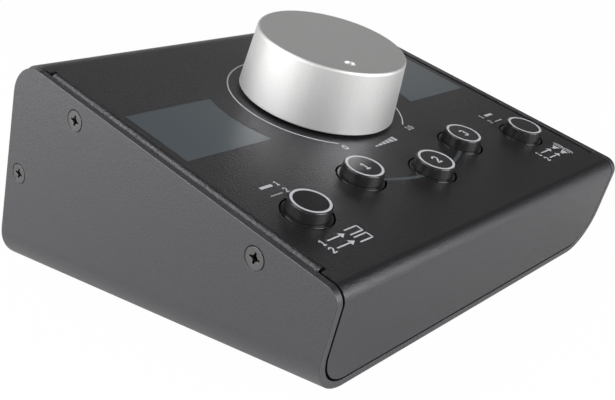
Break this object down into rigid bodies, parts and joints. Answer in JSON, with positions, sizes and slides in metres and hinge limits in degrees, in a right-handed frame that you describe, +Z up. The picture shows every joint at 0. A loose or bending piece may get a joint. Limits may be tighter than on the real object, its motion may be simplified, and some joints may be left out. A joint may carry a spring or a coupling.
{
  "type": "studio monitor controller",
  "caption": "Desktop controller with a sloped black panel, grey side plates, a large aluminium volume knob, round push buttons and rear jacks.",
  "frame": {"origin": "on the desk, under the middle of the case's box", "axes": "+X to the right seen from the front, +Y to the rear (the jacks), +Z up"},
  "size_m": [0.14, 0.1336, 0.0796],
  "materials": {
    "grey_powder_coat": "satin powder coat with a fine grain",
    "black_powder_coat": "satin powder coat with a fine grain",
    "grey_screw": "satin, lacquered",
    "zinc_steel": "bright zinc plate",
    "black_rubber": "matt",
    "turned_aluminium": "fine satin, clear anodised",
    "brass": "turned",
    "black_steel": "black oxide",
    "blue_plastic": "matt",
    "green_board": "lacquered board",
    "tan_ceramic": "matt",
    "black_plastic": "gloss",
    "gilt_brass": "plated",
    "grey_plastic": "matt",
    "black_cap_plastic": "satin",
    "white_plastic": "matt",
    "spring_steel": "bright wire",
    "dark_plastic": "matt"
  },
  "bodies": {
    "case": {"chassis": "grey_powder_coat", "top_cover": "black_powder_coat", "side_screws_left": "grey_screw", "side_screws_right": "grey_screw", "clinch_nuts": "zinc_steel", "rubber_feet": "black_rubber", "foot_screws": "zinc_steel", "foot_nuts": "zinc_steel", "pot_body": "blue_plastic", "pot_washer": "zinc_steel", "pot_nut": "zinc_steel", "left_spring": "spring_steel", "inner_left_spring": "spring_steel", "middle_spring": "spring_steel", "inner_right_spring": "spring_steel", "right_spring": "spring_steel", "left_switch": "dark_plastic", "inner_left_switch": "dark_plastic", "middle_switch": "dark_plastic", "inner_right_switch": "dark_plastic", "right_switch": "dark_plastic", "control_board": "green_board", "panel_studs": "zinc_steel", "board_spacers": "zinc_steel", "board_nuts": "zinc_steel", "pad_resistors": "tan_ceramic", "jack_board": "green_board", "input_jacks": "black_plastic", "output_jacks": "black_plastic", "jack_washers": "zinc_steel", "jack_nuts": "black_plastic", "jack_contacts": "gilt_brass", "control_header": "black_plastic", "jack_header": "black_plastic", "control_plug": "grey_plastic", "jack_plug": "grey_plastic", "ribbon_cable": "grey_plastic"},
    "volume_knob": {"knob_shell": "turned_aluminium", "knob_hub": "brass", "knob_set_screw": "black_steel", "pot_shaft": "zinc_steel"},
    "left_button": {"left_cap": "black_cap_plastic", "left_plunger": "white_plastic"},
    "inner_left_button": {"inner_left_cap": "black_cap_plastic", "inner_left_plunger": "white_plastic"},
    "middle_button": {"middle_cap": "black_cap_plastic", "middle_plunger": "white_plastic"},
    "inner_right_button": {"inner_right_cap": "black_cap_plastic", "inner_right_plunger": "white_plastic"},
    "right_button": {"right_cap": "black_cap_plastic", "right_plunger": "white_plastic"}
  },
  "joints": [
    {"name": "volume_turn", "type": "hinge", "parent": "case", "child": "volume_knob", "pos_m": [0, -0.00247, 0.05435], "axis": [0, 0.314, -0.9494], "range_deg": [0, 295]},
    {"name": "left_press", "type": "slide", "parent": "case", "child": "left_button", "axis": [0, 0.314, -0.9494], "range_m": [0, 0.0025], "stiffness_N_per_m": 500, "springref_m": -0.0015, "deforming": ["left_spring"]},
    {"name": "inner_left_press", "type": "slide", "parent": "case", "child": "inner_left_button", "axis": [0, 0.314, -0.9494], "range_m": [0, 0.0025], "stiffness_N_per_m": 500, "springref_m": -0.0015, "deforming": ["inner_left_spring"]},
    {"name": "middle_press", "type": "slide", "parent": "case", "child": "middle_button", "axis": [0, 0.314, -0.9494], "range_m": [0, 0.0025], "stiffness_N_per_m": 500, "springref_m": -0.0015, "deforming": ["middle_spring"]},
    {"name": "inner_right_press", "type": "slide", "parent": "case", "child": "inner_right_button", "axis": [0, 0.314, -0.9494], "range_m": [0, 0.0025], "stiffness_N_per_m": 500, "springref_m": -0.0015, "deforming": ["inner_right_spring"]},
    {"name": "right_press", "type": "slide", "parent": "case", "child": "right_button", "axis": [0, 0.314, -0.9494], "range_m": [0, 0.0025], "stiffness_N_per_m": 500, "springref_m": -0.0015, "deforming": ["right_spring"]}
  ]
}
